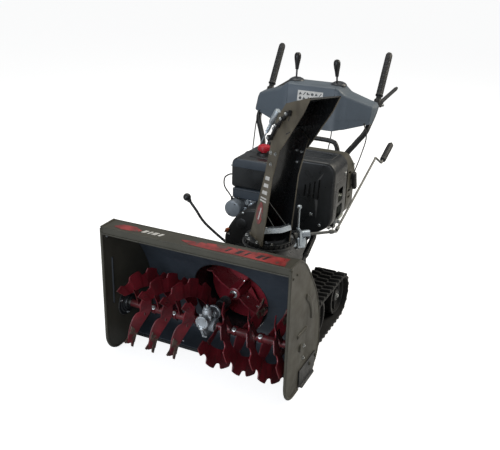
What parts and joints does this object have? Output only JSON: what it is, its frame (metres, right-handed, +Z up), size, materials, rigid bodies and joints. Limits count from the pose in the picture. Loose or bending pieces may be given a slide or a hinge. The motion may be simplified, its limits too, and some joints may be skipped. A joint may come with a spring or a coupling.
{
  "type": "two stage snowblower",
  "caption": "Walk-behind tracked snow thrower with serrated augers, an impeller, a crank-turned chute, petrol engine and twin-lever handlebars.",
  "frame": {"origin": "on the ground, under the middle of the machine's box", "axes": "+Y from the augers back to the operator, +X to the operator's left, +Z up"},
  "size_m": [0.8351, 1.6392, 1.09],
  "materials": {
    "black_paint": "semi-gloss black powder coat",
    "housing_paint": "semi-gloss black powder coat, warm olive sheen",
    "red_paint": "dark red enamel, scuffed on the edges",
    "red_plastic": "bright red moulded plastic",
    "zinc": "bright zinc plate",
    "cast_aluminium": "as cast",
    "steel": "machined",
    "black_plastic": "satin moulded plastic",
    "slate_plastic": "satin slate grey moulded plastic",
    "rubber": "matt black rubber"
  },
  "bodies": {
    "machine": {"auger_bearing_left": "black_paint", "auger_bearing_right": "black_paint", "auger_gearbox": "cast_aluminium", "auger_housing": "housing_paint", "belt_cover": "black_plastic", "cable_auger": "rubber", "cable_drive": "rubber", "cable_speed": "rubber", "console": "slate_plastic", "cross_tube": "black_paint", "engine_bed": "black_paint", "engine_block": "cast_aluminium", "fuel_tank": "black_plastic", "grip_left": "rubber", "grip_right": "rubber", "handlebar_left": "black_paint", "handlebar_right": "black_paint", "height_strut": "black_paint", "impeller_drum": "black_paint", "intake_box": "black_plastic", "muffler_guard": "black_paint", "pinion_bracket": "zinc", "recoil_housing": "black_plastic", "scraper_bar": "black_paint", "side_plate_left": "housing_paint", "side_plate_right": "housing_paint", "skid_shoe_left": "black_paint", "skid_shoe_right": "black_paint", "starter_lead": "rubber", "starter_motor": "cast_aluminium", "track_belt_left": "rubber", "track_belt_right": "rubber", "track_frame": "black_paint", "transmission_case": "black_paint"},
    "impeller_shaft": {"impeller": "red_paint", "auger_pulley": "steel"},
    "augers": {"auger_shaft": "steel", "auger_left": "red_paint", "auger_right": "red_paint"},
    "engine_crankshaft": {"engine_pulley": "steel"},
    "chute_crank": {"crank_rod": "zinc"},
    "crank_handle": {"crank_grip": "rubber"},
    "chute_pinion": {"pinion_shaft": "zinc"},
    "chute_assembly": {"chute": "black_paint", "chute_gear": "black_plastic", "chute_brace": "zinc", "deflector_spring": "zinc"},
    "chute_deflector": {"deflector": "black_paint"},
    "deflector_control": {"deflector_lever": "black_plastic"},
    "speed_control": {"speed_lever": "black_plastic"},
    "clutch_left": {"clutch_lever_left": "black_plastic"},
    "clutch_right": {"clutch_lever_right": "black_plastic"},
    "height_control": {"height_lever": "black_paint"},
    "tank_cap": {"fuel_cap": "red_plastic"},
    "starter_pull": {"recoil_grip": "rubber"},
    "drive_left": {"drive_wheel_left": "black_plastic"},
    "drive_right": {"drive_wheel_right": "black_plastic"},
    "idler_left_body": {"idler_left": "black_plastic"},
    "idler_right_body": {"idler_right": "black_plastic"}
  },
  "joints": [
    {"name": "impeller_spin", "type": "hinge", "parent": "machine", "child": "impeller_shaft", "pos_m": [-0.02525, -0.3998, 0.202], "axis": [0, 1, 0], "continuous": true},
    {"name": "auger_spin", "type": "hinge", "parent": "machine", "child": "augers", "pos_m": [-0.02525, -0.6648, 0.176], "axis": [1, 0, 0], "continuous": true},
    {"name": "engine_spin", "type": "hinge", "parent": "machine", "child": "engine_crankshaft", "pos_m": [-0.01525, -0.1998, 0.452], "axis": [0, 1, 0], "continuous": true},
    {"name": "crank_turn", "type": "hinge", "parent": "machine", "child": "chute_crank", "pos_m": [0.31513, -0.21478, 0.46999], "axis": [0.013, 0.9337, 0.3578], "range_deg": [-225, 725]},
    {"name": "crank_grip_spin", "type": "hinge", "parent": "chute_crank", "child": "crank_handle", "pos_m": [0.34821, 0.28587, 0.63866], "axis": [0.013, 0.9337, 0.3578], "continuous": true},
    {"name": "pinion_turn", "type": "hinge", "parent": "machine", "child": "chute_pinion", "pos_m": [0.17961, -0.33446, 0.4601], "axis": [0.7694, 0.6375, 0.04], "range_deg": [-225, 725]},
    {"name": "chute_turn", "type": "hinge", "parent": "machine", "child": "chute_assembly", "pos_m": [0.10075, -0.3998, 0.457], "axis": [0, 0, 1], "range_deg": [-145, 45]},
    {"name": "deflector_lever_swing", "type": "hinge", "parent": "machine", "child": "deflector_control", "pos_m": [0.07975, 0.3852, 0.862], "axis": [1, 0, 0], "range_deg": [-28, 4]},
    {"name": "deflector_tilt", "type": "hinge", "parent": "chute_assembly", "child": "chute_deflector", "pos_m": [0.19761, -0.49283, 0.934], "axis": [0.6428, 0.766, 0], "range_deg": [-5, 35]},
    {"name": "speed_lever_swing", "type": "hinge", "parent": "machine", "child": "speed_control", "pos_m": [-0.13025, 0.3852, 0.862], "axis": [1, 0, 0], "range_deg": [-22, 18]},
    {"name": "clutch_left_squeeze", "type": "hinge", "parent": "machine", "child": "clutch_left", "pos_m": [0.24975, 0.49945, 0.84014], "axis": [1, 0, 0], "range_deg": [0, 44], "stiffness_Nm_per_rad": 1.5, "springref_deg": -45.84},
    {"name": "clutch_right_squeeze", "type": "hinge", "parent": "machine", "child": "clutch_right", "pos_m": [-0.30025, 0.49945, 0.84014], "axis": [1, 0, 0], "range_deg": [0, 44], "stiffness_Nm_per_rad": 1.5, "springref_deg": -45.84},
    {"name": "height_lever_swing", "type": "hinge", "parent": "machine", "child": "height_control", "pos_m": [-0.16725, -0.1998, 0.296], "axis": [1, 0, 0], "range_deg": [-15, 20]},
    {"name": "fuel_cap_turn", "type": "hinge", "parent": "machine", "child": "tank_cap", "pos_m": [-0.09125, -0.0478, 0.6935], "axis": [0, 0, 1], "range_deg": [0, 90]},
    {"name": "recoil_pull", "type": "slide", "parent": "machine", "child": "starter_pull", "axis": [0.36, 0, 0.933], "range_m": [0, 0.15], "stiffness_N_per_m": 20, "springref_m": -0.1},
    {"name": "drive_wheel_left_spin", "type": "hinge", "parent": "machine", "child": "drive_left", "pos_m": [0.24975, -0.0778, 0.106], "axis": [1, 0, 0], "continuous": true},
    {"name": "drive_wheel_right_spin", "type": "hinge", "parent": "machine", "child": "drive_right", "pos_m": [-0.30025, -0.0778, 0.106], "axis": [1, 0, 0], "continuous": true},
    {"name": "idler_left_spin", "type": "hinge", "parent": "machine", "child": "idler_left_body", "pos_m": [0.24975, -0.3248, 0.106], "axis": [1, 0, 0], "continuous": true},
    {"name": "idler_right_spin", "type": "hinge", "parent": "machine", "child": "idler_right_body", "pos_m": [-0.30025, -0.3248, 0.106], "axis": [1, 0, 0], "continuous": true}
  ],
  "couplings": [
    {"joint": "auger_spin", "follows": "impeller_spin", "ratio": 0.1},
    {"joint": "pinion_turn", "follows": "crank_turn", "ratio": 1},
    {"joint": "chute_turn", "follows": "crank_turn", "ratio": -0.2},
    {"joint": "deflector_tilt", "follows": "deflector_lever_swing", "ratio": -1.25},
    {"joint": "idler_left_spin", "follows": "drive_wheel_left_spin", "ratio": 1},
    {"joint": "idler_right_spin", "follows": "drive_wheel_right_spin", "ratio": 1}
  ]
}
